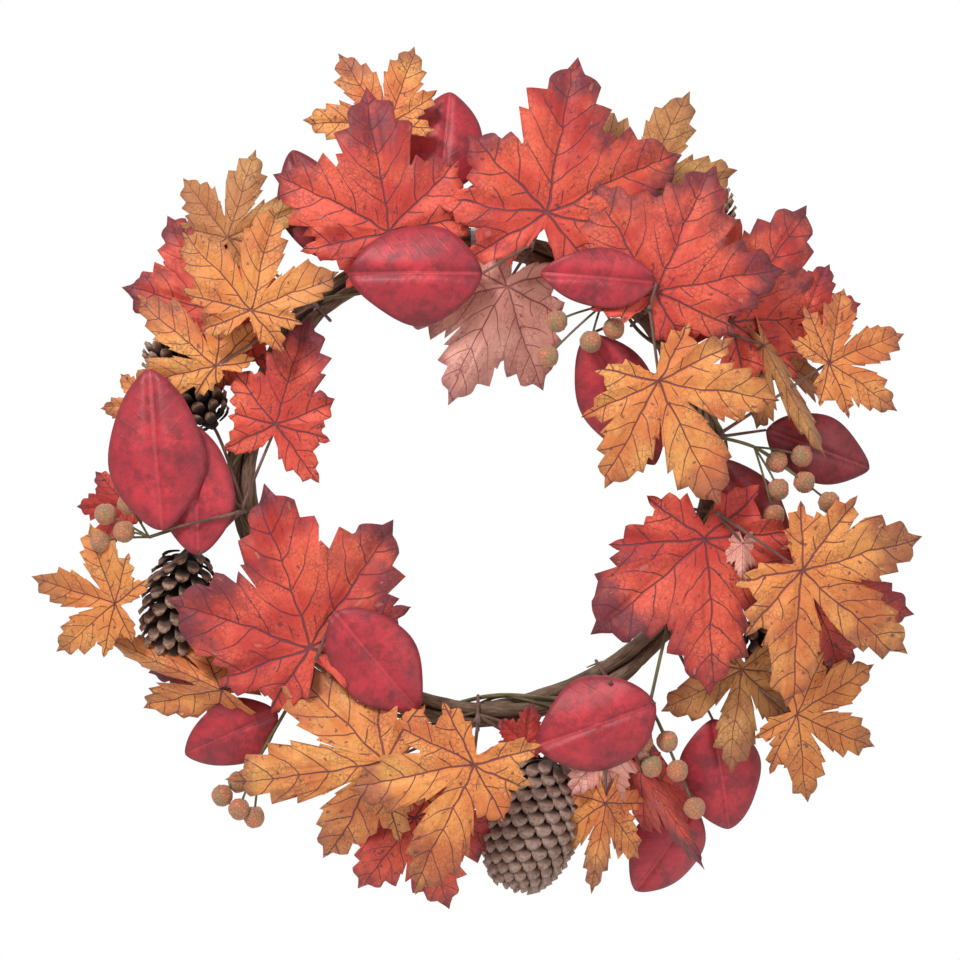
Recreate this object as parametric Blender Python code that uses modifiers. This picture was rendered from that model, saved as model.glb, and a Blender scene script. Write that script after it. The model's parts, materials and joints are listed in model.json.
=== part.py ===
"""Harvest door wreath: a ring of twisted vine, wire picks bound round it, and the fabric leaves, pine
cones and berry sprays that the picks carry. A wire loop swings in a clip at the back and hangs on a nail.

Metres, +Z up. The front faces -Y and the door is the plane y = 0, which the clip's flat pad rests on. The
origin is on that pad, at the height of the vine's middle. Tables give millimetres from the ring's centre."""
import math

import bmesh
import bpy
from mathutils import Vector

MM = 0.001

# Vine ring: one vine that goes round three times and is twisted on itself.
RING_RADIUS = 165 * MM
SPREAD = RING_RADIUS / (165 * MM)  # how far the tables' places are spread with the ring
VINE_RADIUS = 4.8 * MM
LAP_GAP = 0.6 * MM
VINE_OFFSET = (2 * VINE_RADIUS + LAP_GAP) / math.sqrt(3)  # from the bundle's middle to each lap's middle
VINE_LAPS = 3
VINE_TWISTS = 8  # over all the laps, and no multiple of them, so that it closes as one vine
VINE_STEPS = 36  # points in a lap
BUNDLE_RADIUS = VINE_OFFSET + VINE_RADIUS

# Wire picks: a collar bound round the vine, a post to the front and a branch to each leaf.
CLEARANCE = 0.3 * MM
COLLAR_WIRE = 1.2 * MM
COLLAR_SIDES = 12
COLLAR_RADIUS = (BUNDLE_RADIUS + CLEARANCE) / math.cos(math.pi / COLLAR_SIDES) + COLLAR_WIRE
BRANCH_RADIUS = 1.1 * MM

# Leaves lie in layers, one behind the next, from the ring to the front.
LEAF_THICKNESS = 1.2 * MM
FIRST_LAYER = COLLAR_RADIUS + COLLAR_WIRE + 4.2 * MM
LAYER_PITCH = 7 * MM
BRANCH_DEPTH = LEAF_THICKNESS / 2 + CLEARANCE + BRANCH_RADIUS  # a branch's middle behind its leaf

# Pine cones and berries.
SCALE_ROWS = 5
SCALE_LIP = 0.84  # how far in each row of scales steps, as a share of its radius
CONE_SIDES = 12
BERRY_RADIUS = 7.5 * MM
SPRAY_WIRE = 1.1 * MM

# Hanger: a strap clip round the vine's top with an eye, and a loop of wire that swings in the eye.
LOOP_WIRE = 1.2 * MM
LOOP_HALF_WIDTH = 9 * MM
LOOP_LEG = 22 * MM
CLIP_HALF_WIDTH = 5 * MM
CLIP_WALL = 1.5 * MM
CLIP_HOLE = BUNDLE_RADIUS + CLEARANCE
EYE_HOLE = LOOP_WIRE + CLEARANCE
PAD_DEPTH = BUNDLE_RADIUS + 5.3 * MM  # from the vine's middle back to the door
PAD_BOTTOM = -8 * MM
EYE_HEIGHT = 12.5 * MM
EYE_DEPTH = PAD_DEPTH - EYE_HOLE - CLIP_WALL
RING_CENTRE = Vector((0, -PAD_DEPTH, -RING_RADIUS))

# Pick: its place round the ring in degrees, anticlockwise from +X as seen from the front.
PICKS = {
    "pick_east": 10,
    "pick_northeast": 45,
    "pick_north": 77,
    "pick_north_northwest": 112,
    "pick_northwest": 133,
    "pick_west": 188,
    "pick_southwest": 228,
    "pick_south": 270,
    "pick_south_southeast": 303,
    "pick_southeast": 322,
    "pick_east_southeast": 352,
}

# Maple leaf: finish, the stalk's end x, z, heading in degrees, length, breadth share, layer and pick.
MAPLES = {
    "maple_orange_top": ("orange", -62, 246, 125, 66, 0.95, 3, "pick_north_northwest"),
    "maple_red_top_left": ("red", -60, 170, 100, 100, 0.95, 5, "pick_north_northwest"),
    "maple_red_top": ("red", 47, 181, 80, 114, 0.95, 6, "pick_north"),
    "maple_pink_inner_top": ("pink", 19, 133, 242, 91, 0.8, 4, "pick_north"),
    "maple_tan_top_right": ("tan", 111, 198, 64, 80, 0.9, 2, "pick_northeast"),
    "maple_red_right_front": ("red", 121, 127, 66, 98, 1.0, 7, "pick_northeast"),
    "maple_red_right_back": ("red", 174, 108, 55, 102, 0.9, 5, "pick_northeast"),
    "maple_orange_inner_right": ("orange", 123, 66, 296, 90, 1.0, 8, "pick_northeast"),
    "maple_orange_right_top": ("orange", 241, 80, 22, 58, 1.05, 6, "pick_east"),
    "maple_red_inner_right": ("red", 156, -42, 274, 108, 0.95, 5, "pick_east_southeast"),
    "maple_orange_right": ("orange", 220, -62, 320, 100, 0.95, 7, "pick_east_southeast"),
    "maple_tan_lower_right": ("tan", 183, -131, 262, 69, 0.9, 3.27, "pick_southeast"),
    "maple_yellow_lower_right": ("yellow", 221, -163, 335, 66, 1.05, 4, "pick_southeast"),
    "maple_orange_bottom_right": ("orange", 87, -222, 262, 69, 0.6, 6, "pick_south_southeast"),
    "maple_red_bottom": ("red", -44, -234, 290, 72, 1.0, 3, "pick_south"),
    "maple_orange_bottom": ("orange", -3, -193, 245, 94, 0.95, 8, "pick_south"),
    "maple_orange_bottom_left": ("orange", -64, -193, 188, 106, 0.9, 7, "pick_south"),
    "maple_red_left": ("red", -115, -115, 109, 115, 0.95, 5, "pick_southwest"),
    "maple_orange_lower_left": ("orange", -176, -145, 158, 92, 0.5, 4, "pick_southwest"),
    "maple_yellow_left": ("yellow", -250, -86, 165, 62, 0.95, 5, "pick_west"),
    "maple_red_inner_left": ("red", -138, 37, 75, 82, 0.95, 5, "pick_west"),
    "maple_yellow_top_left": ("yellow", -154, 115, 76, 73, 1.0, 8, "pick_northwest"),
    "maple_orange_left": ("orange", -178, 77, 140, 72, 0.9, 6, "pick_northwest"),
    "maple_tan_top_left": ("tan", -173, 167, 75, 64, 0.9, 3, "pick_northwest"),
}

# Magnolia leaf: finish, the stalk's end x, z, heading, length, width, layer and pick.
MAGNOLIAS = {
    "magnolia_inner_top": ("crimson", 3, 140, 180, 92, 69, 7, "pick_north"),
    "magnolia_top": ("crimson", -26, 198, 85, 74, 55, 1, "pick_north_northwest"),
    "magnolia_top_left": ("burgundy", -105, 154, 108, 81, 45, 1, "pick_north_northwest"),
    "magnolia_top_right": ("crimson", 121, 133, 175, 79, 41, 8, "pick_northeast"),
    "magnolia_inner_right": ("crimson", 75, 99, 298, 101, 55, 4, "pick_northeast"),
    "magnolia_right": ("burgundy", 200, 34, 340, 79, 48, 2, "pick_east"),
    "magnolia_right_back": ("burgundy", 163, 13, 310, 86, 41, 1, "pick_east"),
    "magnolia_inner_bottom": ("crimson", 121, -153, 200, 87, 66, 7, "pick_south_southeast"),
    "magnolia_lower_right": ("crimson", 163, -167, 280, 81, 58, 2, "pick_southeast"),
    "magnolia_bottom": ("crimson", 152, -230, 237, 74, 51, 1, "pick_south_southeast"),
    "magnolia_inner_left": ("crimson", -98, -91, 310, 89, 58, 6, "pick_southwest"),
    "magnolia_lower_left": ("crimson", -139, -162, 205, 73, 46, 2, "pick_southwest"),
    "magnolia_left_front": ("crimson", -215, -35, 95, 111, 67, 7, "pick_west"),
    "magnolia_left_back": ("crimson", -191, -52, 92, 89, 52, 6, "pick_west"),
}

# Pine cone: its middle x, depth in front of the vine's front, z, its tip's heading, length, width and pick.
CONES = {
    "pine_cone_bottom": (41, 10.3, -229, 254, 80, 72, "pick_south"),
    "pine_cone_lower_left": (-208, 4.3, -81, 260, 72, 57, "pick_west"),
    "pine_cone_left": (-200, 8.3, 61, 122, 66, 52, "pick_west"),
    "pine_cone_right": (211, 0.3, -121, 320, 66, 52, "pick_southeast"),
}

# Berry spray: its pick, the layer of its wires, where they branch and its berries, each x, layer, z.
SPRAYS = {
    "berry_spray_inner_right": (
        "pick_northeast", 5.5, (84, 118),
        [(54, 5.5, 108), (77, 5.7, 94), (93, 5.5, 103), (48, 5.5, 84)],
    ),
    "berry_spray_right": (
        "pick_east", 4.1, (190, 22),
        [(206, 3.6, 12), (223, 3.8, 16), (225, 3.5, -2), (207, 3.6, -7), (204, 3.5, -25), (242, 3.5, -16)],
    ),
    "berry_spray_lower_right": (
        "pick_southeast", 4.3, (118, -155),
        [(113, 4.6, -181), (130, 4.6, -180), (119, 4.9, -197), (137, 4.6, -200), (149, 4.3, -226)],
    ),
    "berry_spray_left": (
        "pick_west", 4.3, (-226, -40),
        [(-240, 4.6, -17), (-256, 4.4, -24), (-243, 4.6, -36), (-260, 3.4, -43)],
    ),
}

# One half of a maple leaf: degrees from its heading, and distance as a share of its length, tip to stalk.
MAPLE_HALF = [
    (12, 0.8), (20, 0.66), (27, 0.52), (37, 0.64), (46, 0.78), (55, 0.93), (64, 0.74), (74, 0.5),
    (91, 0.62), (108, 0.42), (128, 0.5), (148, 0.32),
]
MAPLE_NOTCH = 0.03
MAGNOLIA_STEPS = 10

FINISHES = {  # colour, roughness, metallic
    "red": ((0.62, 0.10, 0.07), 0.7, 0),
    "orange": ((0.80, 0.36, 0.12), 0.7, 0),
    "yellow": ((0.85, 0.50, 0.18), 0.7, 0),
    "tan": ((0.68, 0.38, 0.14), 0.7, 0),
    "pink": ((0.75, 0.34, 0.30), 0.75, 0),
    "crimson": ((0.50, 0.04, 0.07), 0.55, 0),
    "burgundy": ((0.28, 0.02, 0.05), 0.55, 0),
    "cone": ((0.16, 0.09, 0.06), 0.8, 0),
    "berry": ((0.50, 0.28, 0.14), 0.6, 0),
    "vine": ((0.27, 0.17, 0.10), 0.85, 0),
    "wire": ((0.24, 0.20, 0.10), 0.7, 0),
    "steel": ((0.55, 0.55, 0.56), 0.35, 1),
}

for leftover in list(bpy.data.objects):
    bpy.data.objects.remove(leftover, do_unlink=True)

wreath = bpy.data.collections.new("harvest_door_wreath")
cutters = bpy.data.collections.new("joined_shapes")
bpy.context.scene.collection.children.link(wreath)
bpy.context.scene.collection.children.link(cutters)

ring_centre = bpy.data.objects.new("ring_centre", None)
ring_centre.location = RING_CENTRE
wreath.objects.link(ring_centre)


def finish(name):
    """The material of that name, made on its first use."""
    if name in bpy.data.materials:
        return bpy.data.materials[name]
    colour, roughness, metallic = FINISHES[name]
    material = bpy.data.materials.new(name)
    material.use_nodes = True
    shader = material.node_tree.nodes["Principled BSDF"]
    shader.inputs["Base Color"].default_value = (*colour, 1)
    shader.inputs["Roughness"].default_value = roughness
    shader.inputs["Metallic"].default_value = metallic
    return material


def place(name, data, finish_name, collection=wreath):
    """A new object on the ring's centre, with its finish."""
    piece = bpy.data.objects.new(name, data)
    piece.parent = ring_centre
    data.materials.append(finish(finish_name))
    collection.objects.link(piece)
    return piece


def hide_as_cutter(piece):
    piece.hide_render = True
    piece.display_type = "WIRE"


def polar(radius, degrees, depth=0.0):
    """A point round the ring's centre, in the ring's plane or in front of it."""
    turn = math.radians(degrees)
    return Vector((radius * math.cos(turn), -depth, radius * math.sin(turn)))


def from_centre(x, depth, z):
    """A point at a table's x and z in millimetres, spread with the ring, and at a depth in metres."""
    return Vector((x * SPREAD * MM, -depth, z * SPREAD * MM))


def layer_depth(layer):
    return FIRST_LAYER + layer * LAYER_PITCH


def cone_middle(x, depth, z):
    return from_centre(x, BUNDLE_RADIUS + depth * MM, z)


def wire_curve(name, routes, radius, cyclic=False, sides=6):
    """A curve with one straight-run spline for each route, swept to a round wire."""
    curve = bpy.data.curves.new(name, "CURVE")
    curve.dimensions = "3D"
    curve.bevel_depth = radius
    curve.bevel_resolution = (sides - 4) // 2
    curve.use_fill_caps = not cyclic
    for route in routes:
        spline = curve.splines.new("POLY")
        spline.points.add(len(route) - 1)
        spline.use_cyclic_u = cyclic
        for point, place_on_route in zip(spline.points, route):
            point.co = (*place_on_route, 1)
    return curve


def flat_curve(name, outlines, thickness):
    """A flat plate from closed outlines, the first its edge and the others its holes."""
    curve = bpy.data.curves.new(name, "CURVE")
    curve.dimensions = "2D"
    curve.fill_mode = "BOTH"
    curve.extrude = thickness / 2
    for outline in outlines:
        spline = curve.splines.new("POLY")
        spline.points.add(len(outline) - 1)
        spline.use_cyclic_u = True
        for point, corner in zip(spline.points, outline):
            point.co = (corner[0], corner[1], 0, 1)
    return curve


def mesh_of(piece):
    """The curve object replaced by a mesh object of the same name and place, with its caps welded."""
    evaluated = piece.evaluated_get(bpy.context.evaluated_depsgraph_get())
    mesh = bpy.data.meshes.new_from_object(evaluated)
    welded = bmesh.new()
    welded.from_mesh(mesh)
    bmesh.ops.remove_doubles(welded, verts=welded.verts, dist=0.00001)
    welded.to_mesh(mesh)
    welded.free()
    name, collection = piece.name, piece.users_collection[0]
    bpy.data.objects.remove(piece, do_unlink=True)
    solid = bpy.data.objects.new(name, mesh)
    solid.parent = ring_centre
    collection.objects.link(solid)
    return solid


def join_with(piece, others):
    """A Boolean union of a mesh's own shells with the shapes in a collection."""
    union = piece.modifiers.new("join", "BOOLEAN")
    union.operation = "UNION"
    union.operand_type = "COLLECTION"
    union.collection = others
    union.solver = "EXACT"
    union.use_self = True


def vine():
    """One vine through all its laps: the bundle's phase turns by a whole number of twists over the laps."""
    points = []
    for step in range(VINE_LAPS * VINE_STEPS):
        turn = 2 * math.pi * step / VINE_STEPS
        phase = turn * VINE_TWISTS / VINE_LAPS
        reach = RING_RADIUS + VINE_OFFSET * math.cos(phase)
        points.append((reach * math.cos(turn), VINE_OFFSET * math.sin(phase), reach * math.sin(turn)))
    place("vine_ring", wire_curve("vine_ring", [points], VINE_RADIUS, cyclic=True), "vine")


def leaf_plate(name, outline, finish_name, x, z, heading, layer):
    """A flat leaf in its layer, with its stalk's end at its object's origin."""
    leaf = place(name, flat_curve(name, [outline], LEAF_THICKNESS), finish_name)
    leaf.location = from_centre(x, layer_depth(layer), z)
    leaf.rotation_euler = (math.radians(90), -math.radians(heading), 0)


def maple_outline(length, breadth):
    """Seven lobes about the heading, both halves alike, with a notch at the stalk."""
    far_half = [(-degrees, share) for degrees, share in reversed(MAPLE_HALF)]
    edge = []
    for degrees, share in [(0, 1.0), *MAPLE_HALF, (180, MAPLE_NOTCH), *far_half]:
        turn, reach = math.radians(degrees), length * share
        edge.append((reach * math.cos(turn), reach * breadth * math.sin(turn)))
    return edge


def magnolia_outline(length, width):
    """A pointed oval: its half width swells as a sine along its length."""
    along = [step / MAGNOLIA_STEPS for step in range(1, MAGNOLIA_STEPS)]
    upper = [(length * s, width / 2 * math.sin(math.pi * s**0.9) ** 0.7) for s in along]
    return [(0, 0), *[(x, -y) for x, y in upper], (length, 0), *reversed(upper)]


def leaves():
    for name, (colour, x, z, heading, length, breadth, layer, _) in MAPLES.items():
        leaf_plate(name, maple_outline(length * MM, breadth), colour, x, z, heading, layer)
    for name, (colour, x, z, heading, length, width, layer, _) in MAGNOLIAS.items():
        leaf_plate(name, magnolia_outline(length * MM, width * MM), colour, x, z, heading, layer)


def cone_base(x, depth, z, heading, length):
    """The middle of a cone's flat base."""
    return cone_middle(x, depth, z) - polar(length / 2 * MM, heading)


def cone_profile(length, width):
    """From the tip down: each row of scales is a lip and the step in under it, on an egg-shaped outline."""
    profile = [(0, 0, length / 2)]
    for row in range(SCALE_ROWS):
        share = (row + 0.6) / SCALE_ROWS
        radius = width / 2 * math.sin(math.pi * (0.1 + 0.58 * share)) ** 0.8
        height = length * (0.5 - share + 0.02)
        profile += [(radius, 0, height), (radius * SCALE_LIP, 0, height - 0.05 * length)]
    profile.append((0, 0, -length / 2))
    return profile


def cones():
    for name, (x, depth, z, heading, length, width, _) in CONES.items():
        profile = cone_profile(length * MM, width * MM)
        mesh = bpy.data.meshes.new(name)
        mesh.from_pydata(profile, [(k, k + 1) for k in range(len(profile) - 1)], [])
        cone = place(name, mesh, "cone")
        cone.location = cone_middle(x, depth, z)
        cone.rotation_euler = (0, math.radians(90 - heading), 0)
        turned = cone.modifiers.new("turned", "SCREW")
        turned.steps = turned.render_steps = CONE_SIDES
        turned.use_merge_vertices = True
        turned.merge_threshold = 0.00005


def picks():
    """Each pick's collar, post and branches, joined as one wire piece."""
    for name, degrees in PICKS.items():
        foot = polar(RING_RADIUS, degrees, BUNDLE_RADIUS + 2 * CLEARANCE)
        own = [row for row in (*MAPLES.values(), *MAGNOLIAS.values()) if row[-1] == name]
        ends = []
        for row in own:
            depth = layer_depth(row[6]) - BRANCH_DEPTH
            ends.append((depth, from_centre(row[1], depth, row[2])))
        top = max(depth for depth, _ in ends)
        routes = [[foot, polar(RING_RADIUS, degrees, top + BRANCH_RADIUS / 2)]]
        routes += [[polar(RING_RADIUS, degrees, depth), end] for depth, end in ends]
        for x, depth, z, heading, length, _, carrier in CONES.values():
            if carrier == name:
                base = cone_base(x, depth, z, heading, length) - polar(BRANCH_RADIUS, heading)
                routes.append([polar(RING_RADIUS, degrees, COLLAR_RADIUS + COLLAR_WIRE), base])
        pick = mesh_of(place(name, wire_curve(name, routes, BRANCH_RADIUS), "wire"))
        shapes = bpy.data.collections.new(name + "_collar")
        cutters.children.link(shapes)
        bpy.ops.mesh.primitive_torus_add(
            major_radius=COLLAR_RADIUS, minor_radius=COLLAR_WIRE,
            major_segments=COLLAR_SIDES, minor_segments=5,
        )
        collar = bpy.context.object
        collar.users_collection[0].objects.unlink(collar)
        shapes.objects.link(collar)
        collar.name = name + "_collar_shape"
        collar.parent = ring_centre
        collar.location = polar(RING_RADIUS, degrees)
        collar.rotation_euler = (0, -math.radians(degrees), 0)
        hide_as_cutter(collar)
        join_with(pick, shapes)


def sprays():
    """Each spray's wires, joined with its berries."""
    for name, (pick, layer, (fork_x, fork_z), berries) in SPRAYS.items():
        fork = from_centre(fork_x, layer_depth(layer), fork_z)
        post = polar(RING_RADIUS, PICKS[pick], layer_depth(layer))
        start = post + (fork - post).normalized() * (BRANCH_RADIUS + SPRAY_WIRE + CLEARANCE)
        middles = [from_centre(x, layer_depth(deep), z) for x, deep, z in berries]
        routes = [[start, fork + (fork - start).normalized() * SPRAY_WIRE]]
        routes += [[fork, middle] for middle in middles]
        spray = mesh_of(place(name, wire_curve(name, routes, SPRAY_WIRE), "berry"))
        shapes = bpy.data.collections.new(name + "_berries")
        cutters.children.link(shapes)
        for middle in middles:
            bpy.ops.mesh.primitive_ico_sphere_add(subdivisions=2, radius=BERRY_RADIUS)
            berry = bpy.context.object
            berry.users_collection[0].objects.unlink(berry)
            shapes.objects.link(berry)
            berry.name = name + "_berry"
            berry.parent = ring_centre
            berry.location = middle
            hide_as_cutter(berry)
        join_with(spray, shapes)


def circle_points(radius, sides, centre=(0, 0), first=0.0, last=360.0):
    """Points round an arc, without the last one where the arc is a whole circle."""
    whole = last - first >= 360
    count = sides if whole else sides + 1
    turns = [math.radians(first + (last - first) * k / sides) for k in range(count)]
    return [(centre[0] + radius * math.cos(turn), centre[1] + radius * math.sin(turn)) for turn in turns]


def hanger():
    """The clip is one plate, pierced for the vine and for the loop; its flat back is the pad."""
    front = circle_points(CLIP_HOLE + CLIP_WALL, 12, first=75, last=300)
    eye_edge = EYE_HOLE + CLIP_WALL
    back = [
        (PAD_DEPTH, PAD_BOTTOM),
        (PAD_DEPTH, EYE_HEIGHT + eye_edge),
        (EYE_DEPTH - eye_edge, EYE_HEIGHT + eye_edge),
    ]
    holes = [circle_points(CLIP_HOLE, 24), circle_points(EYE_HOLE, 12, (EYE_DEPTH, EYE_HEIGHT))]
    strap = flat_curve("hanger_clip", [front + back, *holes], 2 * CLIP_HALF_WIDTH)
    clip = place("hanger_clip", strap, "steel")
    clip.location = (0, 0, RING_RADIUS)
    clip.rotation_euler = (math.radians(90), 0, math.radians(90))
    bow = [
        (LOOP_HALF_WIDTH * math.cos(turn), 0, LOOP_LEG + LOOP_HALF_WIDTH * math.sin(turn))
        for turn in [math.pi * k / 8 for k in range(9)]
    ]
    route = [(-LOOP_HALF_WIDTH, 0, 0), (LOOP_HALF_WIDTH, 0, 0), *bow]
    loop = place("hanger_loop", wire_curve("hanger_loop", [route], LOOP_WIRE, cyclic=True), "steel")
    loop.location = (0, EYE_DEPTH, RING_RADIUS + EYE_HEIGHT)


vine()
leaves()
cones()
picks()
sprays()
hanger()
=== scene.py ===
"""Harvest door wreath, as it looks: a twisted vine ring dressed with printed fabric maple and magnolia
leaves, pine cones and berry sprays on florist's wire, with a loop at the back that hangs on a nail."""
import json
import math

import bpy
import numpy as np
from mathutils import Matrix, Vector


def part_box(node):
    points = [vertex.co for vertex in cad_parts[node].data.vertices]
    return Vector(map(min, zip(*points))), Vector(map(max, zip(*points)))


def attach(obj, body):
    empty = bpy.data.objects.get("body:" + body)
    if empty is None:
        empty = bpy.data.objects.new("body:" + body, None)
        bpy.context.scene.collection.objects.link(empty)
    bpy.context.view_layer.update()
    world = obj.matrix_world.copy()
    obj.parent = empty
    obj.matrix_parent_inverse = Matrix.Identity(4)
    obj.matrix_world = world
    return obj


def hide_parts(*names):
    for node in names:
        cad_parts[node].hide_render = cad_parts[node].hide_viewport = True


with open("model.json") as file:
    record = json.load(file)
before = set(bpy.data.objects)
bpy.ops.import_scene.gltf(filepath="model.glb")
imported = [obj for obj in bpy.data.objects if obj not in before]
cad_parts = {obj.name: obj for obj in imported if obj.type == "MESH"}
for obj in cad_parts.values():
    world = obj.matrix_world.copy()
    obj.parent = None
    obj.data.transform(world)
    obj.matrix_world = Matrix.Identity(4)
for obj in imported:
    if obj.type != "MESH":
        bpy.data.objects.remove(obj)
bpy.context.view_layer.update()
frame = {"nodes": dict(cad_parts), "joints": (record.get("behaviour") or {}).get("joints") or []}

# Studio: a pale floor below the hanging wreath, a white surround and three large soft lights. The camera
# stands square in front on a long lens, and the ring's middle is worked out from the vine's own box.
MM = 0.001
vine_low, vine_high = (np.array(corner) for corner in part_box("vine_ring"))
RING_CENTRE = (vine_low + vine_high) / 2
RING_RADIUS = 165 * MM
VIEW_WIDTH = 0.659
LENS = 100
SENSOR = 36
FLOOR_DROP = 0.5
FLOOR_WIDTH = 1.6
SURROUND_SEEN = 1.0
SURROUND_LIGHT = 0.46

bpy.context.scene.view_settings.view_transform = "Standard"
bpy.ops.mesh.primitive_plane_add(size=FLOOR_WIDTH, location=(0, -0.1, RING_CENTRE[2] - FLOOR_DROP))
floor = bpy.context.object
floor.name = "floor"
floor_finish = bpy.data.materials.new("pale_floor")
floor_finish.use_nodes = True
floor_shader = floor_finish.node_tree.nodes["Principled BSDF"]
floor_shader.inputs["Base Color"].default_value = (0.86, 0.85, 0.84, 1)
floor_shader.inputs["Roughness"].default_value = 0.8
floor.data.materials.append(floor_finish)

world = bpy.data.worlds.new("white_surround")
bpy.context.scene.world = world
world.use_nodes = True
surround = world.node_tree.nodes["Background"]
surround.inputs["Color"].default_value = (1, 1, 1, 1)
seen = world.node_tree.nodes.new("ShaderNodeMapRange")
seen.inputs["To Min"].default_value = SURROUND_LIGHT
seen.inputs["To Max"].default_value = SURROUND_SEEN
light_path = world.node_tree.nodes.new("ShaderNodeLightPath")
world.node_tree.links.new(light_path.outputs["Is Camera Ray"], seen.inputs["Value"])
world.node_tree.links.new(seen.outputs["Result"], surround.inputs["Strength"])


def soft_light(name, place, width, watts):
    """A square area light that faces the ring's middle."""
    light = bpy.data.lights.new(name, "AREA")
    light.size = width
    light.energy = watts
    lamp = bpy.data.objects.new(name, light)
    bpy.context.scene.collection.objects.link(lamp)
    lamp.location = place
    middle = RING_CENTRE - np.array(place)
    flat = math.hypot(middle[0], middle[1])
    lamp.rotation_euler = (math.atan2(flat, -middle[2]), 0, math.atan2(-middle[0], middle[1]))


soft_light("key_light", (-0.8, -1.3, 1.1), 0.45, 27)
soft_light("fill_light", (1.2, -1.4, 0.1), 1.0, 7)
soft_light("back_light", (0.3, 1.4, 0.9), 1.0, 9)

camera = bpy.data.objects.new("camera", bpy.data.cameras.new("camera"))
camera.data.lens = LENS
camera.data.sensor_width = SENSOR
leaf_plane = RING_CENTRE[1] - 50 * MM
camera.location = (1.4 * MM, leaf_plane - VIEW_WIDTH * LENS / SENSOR, RING_CENTRE[2] - 0.7 * MM)
camera.rotation_euler = (math.radians(90), 0, 0)
bpy.context.scene.collection.objects.link(camera)
bpy.context.scene.camera = camera

# Vine ring: one grapevine wound three times round and twisted on itself, with thin tendrils laid over it.
# The bark is dry and fibrous, and runs along the vine.
VINE_RADIUS = 4.7 * MM
VINE_OFFSET = 5.9 * MM
VINE_LAPS = 3
VINE_TWISTS = 8
VINE_STEPS = 540
VINE_SIDES = 14
TENDRIL_OFFSET = 11.4 * MM


def mesh_piece(name, points, faces, finish, nodes=(), uv=None, fields=None, body="wreath"):
    """A smooth mesh from points and faces, with a UV and value fields for each point, riding on a body."""
    mesh = bpy.data.meshes.new(name)
    mesh.from_pydata(points.tolist(), [], faces)
    mesh.polygons.foreach_set("use_smooth", np.ones(len(mesh.polygons), bool))
    if uv is not None:
        corners = np.empty(len(mesh.loops), np.int32)
        mesh.loops.foreach_get("vertex_index", corners)
        mesh.uv_layers.new(name="lay").data.foreach_set("uv", uv[corners].ravel())
    for field, values in (fields or {}).items():
        mesh.attributes.new(field, "FLOAT", "POINT").data.foreach_set("value", values)
    mesh.materials.append(finish)
    piece = bpy.data.objects.new(name, mesh)
    bpy.context.scene.collection.objects.link(piece)
    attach(piece, body)
    if nodes:
        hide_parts(*nodes)


def grid_faces(rows, columns, wrap_rows=False, wrap_columns=False, first=0):
    """Quads of a grid of points kept row by row, joined round where it wraps."""
    down = np.arange(rows if wrap_rows else rows - 1)[:, None]
    across = np.arange(columns if wrap_columns else columns - 1)[None, :]
    next_down, next_across = (down + 1) % rows, (across + 1) % columns
    quads = np.stack(np.broadcast_arrays(
        down * columns + across, down * columns + next_across,
        next_down * columns + next_across, next_down * columns + across,
    ), -1)
    return (quads.reshape(-1, 4) + first).tolist()


def tube(path, radius, sides=10, closed=False, first=0):
    """A circle of the radius carried along a path, square to it: points, faces and (along, round) UV."""
    if closed:
        tangent = np.roll(path, -1, 0) - np.roll(path, 1, 0)
    else:
        tangent = np.gradient(path, axis=0)
    tangent /= np.linalg.norm(tangent, axis=1, keepdims=True)
    aside = np.cross(tangent, np.eye(3)[np.argmin(np.abs(tangent).max(0))])
    aside /= np.linalg.norm(aside, axis=1, keepdims=True)
    up = np.cross(tangent, aside)
    turn = np.linspace(0, 2 * np.pi, sides, endpoint=False)
    girth = np.broadcast_to(radius, (len(path),))[:, None] if np.ndim(radius) < 2 else radius
    spokes = np.cos(turn)[None, :, None] * aside[:, None] + np.sin(turn)[None, :, None] * up[:, None]
    rings = path[:, None] + girth[:, :, None] * spokes
    faces = grid_faces(len(path), sides, wrap_rows=closed, wrap_columns=True, first=first)
    if not closed:
        last = first + (len(path) - 1) * sides
        faces += [list(range(first + sides - 1, first - 1, -1)), list(range(last, last + sides))]
    faces = [face[::-1] for face in faces]
    length = np.concatenate([[0], np.cumsum(np.linalg.norm(np.diff(path, axis=0), axis=1))])
    uv = np.stack(np.broadcast_arrays(length[:, None], turn[None, :] / (2 * np.pi)), -1).reshape(-1, 2)
    return rings.reshape(-1, 3), faces, uv


def joined(parts):
    """Several (points, faces, uv) made one, their faces renumbered."""
    points, faces, uvs, count = [], [], [], 0
    for own_points, own_faces, own_uv in parts:
        points.append(own_points)
        faces += [[corner + count for corner in face] for face in own_faces]
        uvs.append(own_uv)
        count += len(own_points)
    return np.concatenate(points), faces, np.concatenate(uvs)


def add_node(tree, kind, values=(), **settings):
    """A node with its settings and, by input name or number, its values or the sockets that feed it."""
    node = tree.nodes.new(kind)
    for key, value in settings.items():
        setattr(node, key, value)
    for key, value in dict(values).items():
        if isinstance(value, bpy.types.NodeSocket):
            tree.links.new(value, node.inputs[key])
        else:
            node.inputs[key].default_value = value
    return node


def maths(tree, operation, first, second=0.0):
    """A maths node's result."""
    return add_node(tree, "ShaderNodeMath", {0: first, 1: second}, operation=operation).outputs[0]


def spread(tree, value, low, high, out_low=0.0, out_high=1.0):
    """A smooth step from out_low to out_high as the value goes from low to high."""
    node = add_node(
        tree, "ShaderNodeMapRange",
        {"Value": value, "From Min": low, "From Max": high, "To Min": out_low, "To Max": out_high},
        interpolation_type="SMOOTHSTEP",
    )
    return node.outputs["Result"]


def blend_colour(tree, share, first, second):
    """The first colour turning into the second as the share goes from 0 to 1."""
    low, high = [c if isinstance(c, bpy.types.NodeSocket) else (*c, 1) for c in (first, second)]
    return add_node(tree, "ShaderNodeMix", {0: share, 6: low, 7: high}, data_type="RGBA").outputs[2]


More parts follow.
